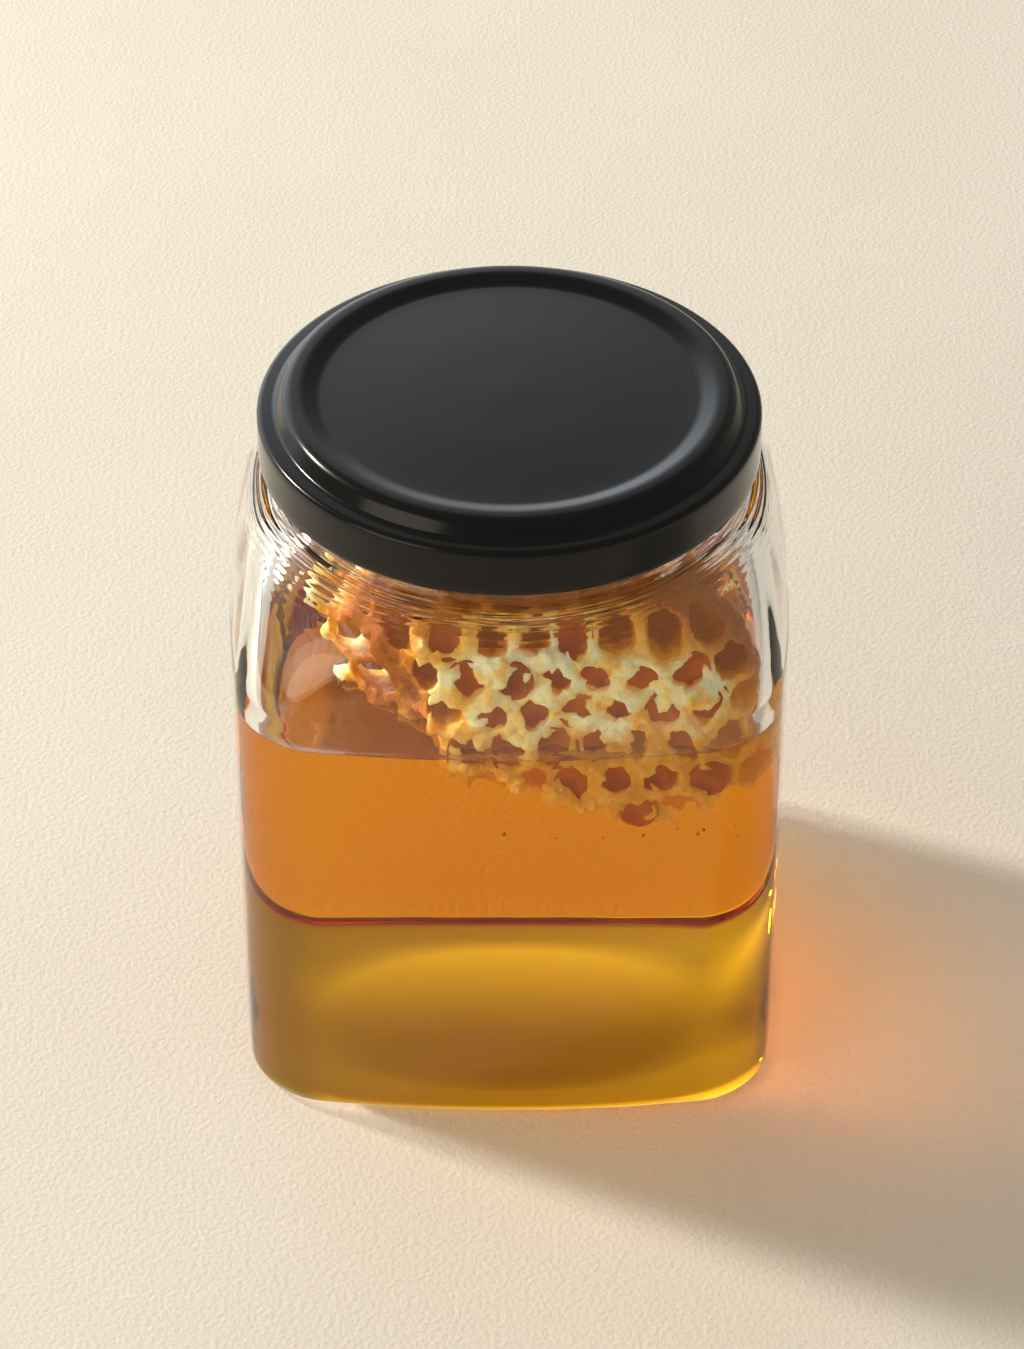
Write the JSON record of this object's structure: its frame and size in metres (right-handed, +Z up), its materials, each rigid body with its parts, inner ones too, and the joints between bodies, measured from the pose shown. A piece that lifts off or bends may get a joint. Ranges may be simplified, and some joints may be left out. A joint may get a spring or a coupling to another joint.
{
  "type": "honey jar",
  "caption": "Square glass honey jar with soft corners and a round pressed steel lid, part filled with honey around a chunk of honeycomb.",
  "frame": {"origin": "middle of the jar's underside, on the surface it stands on", "axes": "+Z up through the middle of the lid; -Y is the front, the side nearest the comb's cell mouths; X and Y run square to the jar's flat sides"},
  "size_m": [0.0746, 0.0746, 0.095],
  "materials": {
    "glass": "clear polished container glass",
    "lid_lacquer": "black satin lacquer on pressed steel",
    "honey": "clear amber liquid",
    "wax": "soft cream wax wet with honey"
  },
  "bodies": {
    "root": {"jar_glass": "glass", "lid": "lid_lacquer", "honey": "honey", "honeycomb": "wax"}
  },
  "joints": []
}
